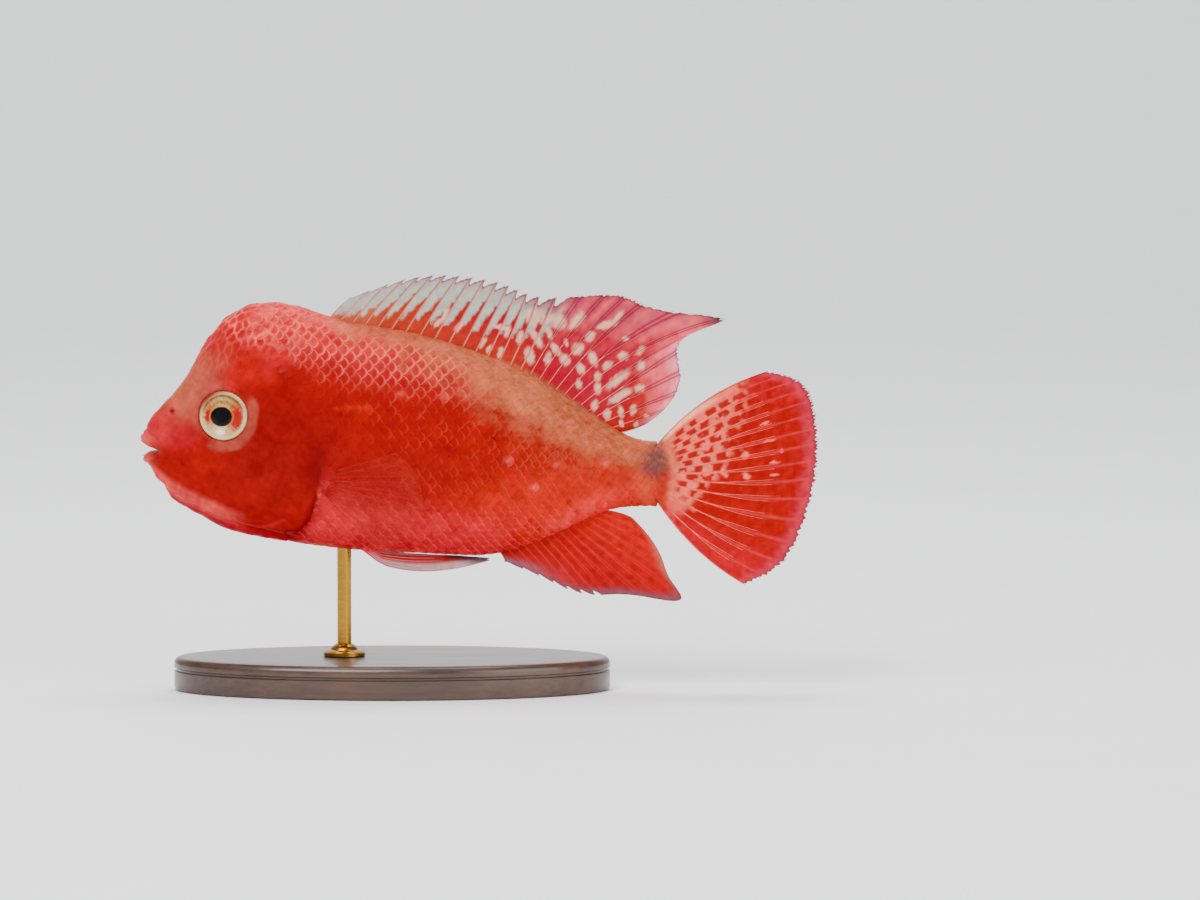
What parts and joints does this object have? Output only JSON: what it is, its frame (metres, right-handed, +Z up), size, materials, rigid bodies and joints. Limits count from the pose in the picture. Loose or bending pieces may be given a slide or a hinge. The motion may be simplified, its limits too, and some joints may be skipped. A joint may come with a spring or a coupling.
{
  "type": "flowerhorn cichlid model",
  "caption": "Life-size still model of a flowerhorn cichlid with a humped forehead and spread fins, held on a rod over a flat oval base.",
  "frame": {"origin": "on the floor under the middle of the whole model, at the bottom of the stand's base", "axes": "+X runs from the head to the tail, the head faces -X, the fish's left side faces -Y, and +Z is up"},
  "size_m": [0.1622, 0.054, 0.099],
  "materials": {
    "flesh": "wet satin skin with scales",
    "fin": "thin translucent fin membrane over pale rays",
    "lip": "smooth moist skin",
    "eye": "glossy golden eye with a black pupil",
    "base_wood": "satin dark walnut",
    "rod_brass": "brushed"
  },
  "bodies": {
    "root": {"head": "flesh", "nuchal_hump": "flesh", "lower_jaw": "flesh", "gill_cover_left": "flesh", "gill_cover_right": "flesh", "trunk": "flesh", "tail_stalk": "flesh", "upper_lip": "lip", "lower_lip": "lip", "eye_left": "eye", "eye_right": "eye", "dorsal_fin": "fin", "anal_fin": "fin", "caudal_fin": "fin", "pectoral_fin_left": "fin", "pectoral_fin_right": "fin", "pelvic_fin_left": "fin", "pelvic_fin_right": "fin", "stand_base": "base_wood", "stand_rod": "rod_brass"}
  },
  "joints": []
}
